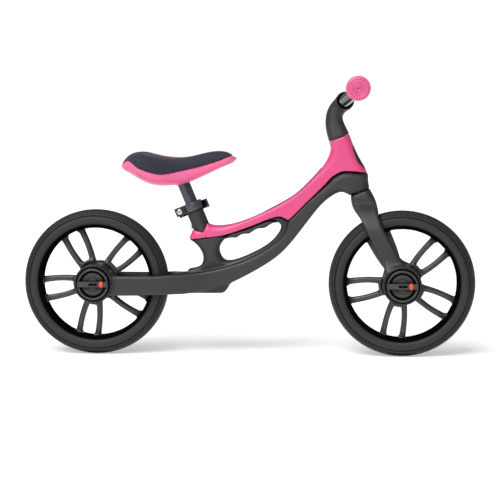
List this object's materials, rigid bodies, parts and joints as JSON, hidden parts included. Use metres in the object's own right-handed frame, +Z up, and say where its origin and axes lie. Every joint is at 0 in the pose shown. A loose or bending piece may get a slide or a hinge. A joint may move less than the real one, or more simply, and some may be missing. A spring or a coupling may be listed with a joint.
{
  "type": "balance bike",
  "caption": "Child's balance bike: swooping composite frame with carry handle, twin-spoke wheels, fork and gooseneck bars, saddle on a clamped post.",
  "frame": {"origin": "on the ground midway between the two wheels, on the bike's centre plane", "axes": "+X forward, towards the front wheel; +Y to the rider's left; +Z up"},
  "size_m": [0.868, 0.4012, 0.532],
  "materials": {
    "frame_composite": "fine grained matt",
    "pink_shell": "satin",
    "black_insert": "satin",
    "handle_rubber": "matt",
    "tube_paint": "gloss",
    "bar_paint": "gloss",
    "bright_steel": "polished",
    "plain_steel": "brushed",
    "spring_steel": "drawn wire",
    "bush_plastic": "smooth",
    "collar_paint": "satin",
    "seat_pink": "satin",
    "pad_foam": "soft matt foam",
    "grip_pink": "soft satin",
    "tyre_foam": "matt",
    "rim_plastic": "satin",
    "knob_plastic": "satin",
    "button_orange": "gloss"
  },
  "bodies": {
    "frame": {"frame_lower": "frame_composite", "frame_upper_cover": "pink_shell", "head_badge_insert": "black_insert", "top_tube_insert": "black_insert", "handle_grip": "handle_rubber", "seat_tube": "frame_composite", "seat_tube_screw": "bright_steel", "head_bushes": "bush_plastic", "seat_clamp_collar": "collar_paint", "clamp_bolt": "plain_steel", "clamp_nut": "bright_steel", "clamp_lever_pin": "plain_steel", "rear_axle": "plain_steel", "rear_axle_spacers": "plain_steel", "rear_axle_cap": "knob_plastic", "rear_toothed_rings": "knob_plastic"},
    "steering_assembly": {"fork": "frame_composite", "steerer_tube": "plain_steel", "stem": "frame_composite", "stem_bolt": "plain_steel", "handlebar_tube": "bar_paint", "grip_right": "grip_pink", "grip_left": "grip_pink", "front_axle": "plain_steel", "front_axle_spacers": "plain_steel", "front_axle_cap": "knob_plastic", "front_toothed_rings": "knob_plastic"},
    "saddle_assembly": {"seat_post": "tube_paint", "seat_post_plug": "bush_plastic", "seat_base": "seat_pink", "seat_pad": "pad_foam", "seat_pad_stripe": "seat_pink", "seat_screws": "plain_steel"},
    "clamp_lever_body": {"clamp_lever": "collar_paint"},
    "rear_wheel": {"rear_tyre": "tyre_foam", "rear_rim": "rim_plastic", "rear_bearings": "plain_steel"},
    "rear_knob": {"rear_axle_knob": "knob_plastic", "rear_button_spring": "spring_steel"},
    "rear_button": {"rear_release_button": "button_orange"},
    "front_wheel": {"front_tyre": "tyre_foam", "front_rim": "rim_plastic", "front_bearings": "plain_steel"},
    "front_knob": {"front_axle_knob": "knob_plastic", "front_button_spring": "spring_steel"},
    "front_button": {"front_release_button": "button_orange"}
  },
  "joints": [
    {"name": "steering", "type": "hinge", "parent": "frame", "child": "steering_assembly", "pos_m": [0.2135, 0, 0.3155], "axis": [-0.3681, 0, 0.9298], "range_deg": [-40, 40]},
    {"name": "seat_height", "type": "slide", "parent": "frame", "child": "saddle_assembly", "axis": [-0.3827, 0, 0.9239], "range_m": [-0.022, 0.045]},
    {"name": "clamp_lever_swing", "type": "hinge", "parent": "frame", "child": "clamp_lever_body", "pos_m": [-0.13151, 0.0165, 0.27602], "axis": [-0.3827, 0, 0.9239], "range_deg": [0, 150]},
    {"name": "rear_wheel_spin", "type": "hinge", "parent": "frame", "child": "rear_wheel", "pos_m": [-0.294, 0, 0.14], "axis": [0, 1, 0], "continuous": true},
    {"name": "rear_knob_turn", "type": "hinge", "parent": "frame", "child": "rear_knob", "pos_m": [-0.294, -0.045, 0.14], "axis": [0, 1, 0], "range_deg": [0, 90]},
    {"name": "rear_button_press", "type": "slide", "parent": "rear_knob", "child": "rear_button", "axis": [0, 1, 0], "range_m": [0, 0.003], "stiffness_N_per_m": 300, "springref_m": -0.002, "deforming": ["rear_button_spring"]},
    {"name": "front_wheel_spin", "type": "hinge", "parent": "steering_assembly", "child": "front_wheel", "pos_m": [0.294, 0, 0.14], "axis": [0, 1, 0], "continuous": true},
    {"name": "front_knob_turn", "type": "hinge", "parent": "steering_assembly", "child": "front_knob", "pos_m": [0.294, -0.045, 0.14], "axis": [0, 1, 0], "range_deg": [0, 90]},
    {"name": "front_button_press", "type": "slide", "parent": "front_knob", "child": "front_button", "axis": [0, 1, 0], "range_m": [0, 0.003], "stiffness_N_per_m": 300, "springref_m": -0.002, "deforming": ["front_button_spring"]}
  ]
}
